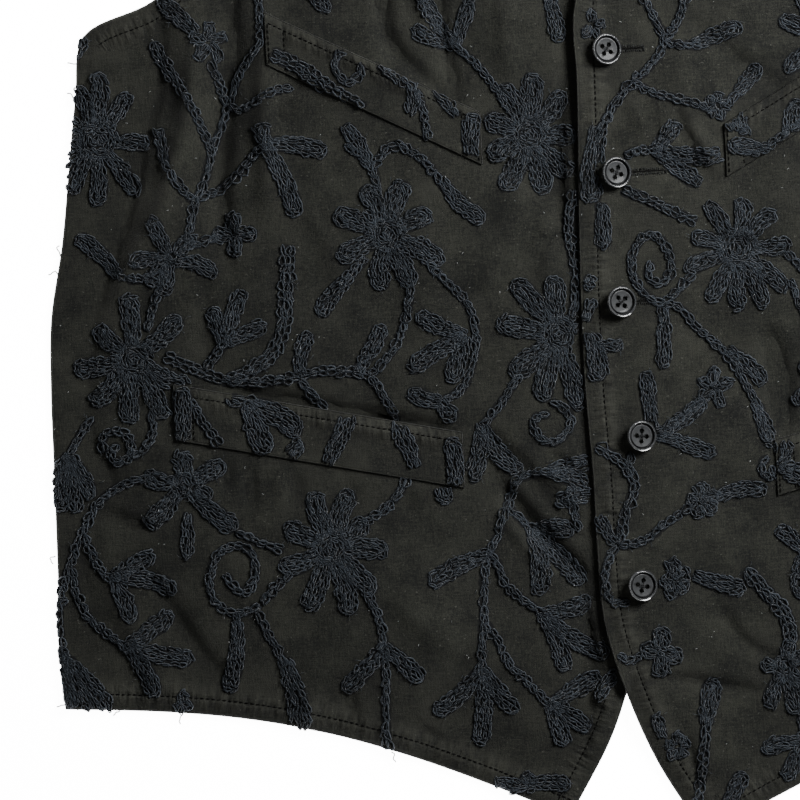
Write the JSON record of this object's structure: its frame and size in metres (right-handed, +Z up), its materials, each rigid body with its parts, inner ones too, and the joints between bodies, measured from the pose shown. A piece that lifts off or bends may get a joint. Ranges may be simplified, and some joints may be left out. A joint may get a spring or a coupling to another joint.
{
  "type": "embroidered waistcoat",
  "caption": "Sleeveless V-neck waistcoat of dark embroidered cotton, buttoned left over right, with welt pockets and a cutaway hem, laid flat on its back.",
  "frame": {"origin": "centre of the footprint, on the surface that the waistcoat lies on", "axes": "+Z up from that surface, +Y up the garment from hem to neck, +X towards the wearer's left side seam"},
  "size_m": [0.5464, 0.6644, 0.0165],
  "materials": {
    "cloth": "matt black-olive plain-weave cotton, washed and slightly puckered at its seams",
    "button": "dark grey-black horn-like plastic with a polished rim",
    "yarn": "matt slate-navy cotton yarn in raised chain stitch"
  },
  "bodies": {
    "root": {"back": "cloth", "front_right": "cloth", "front_left": "cloth", "chest_welt_right": "cloth", "chest_welt_left": "cloth", "hip_welt_right": "cloth", "hip_welt_left": "cloth", "button_1": "button", "button_2": "button", "button_3": "button", "button_4": "button", "button_5": "button"}
  },
  "joints": []
}
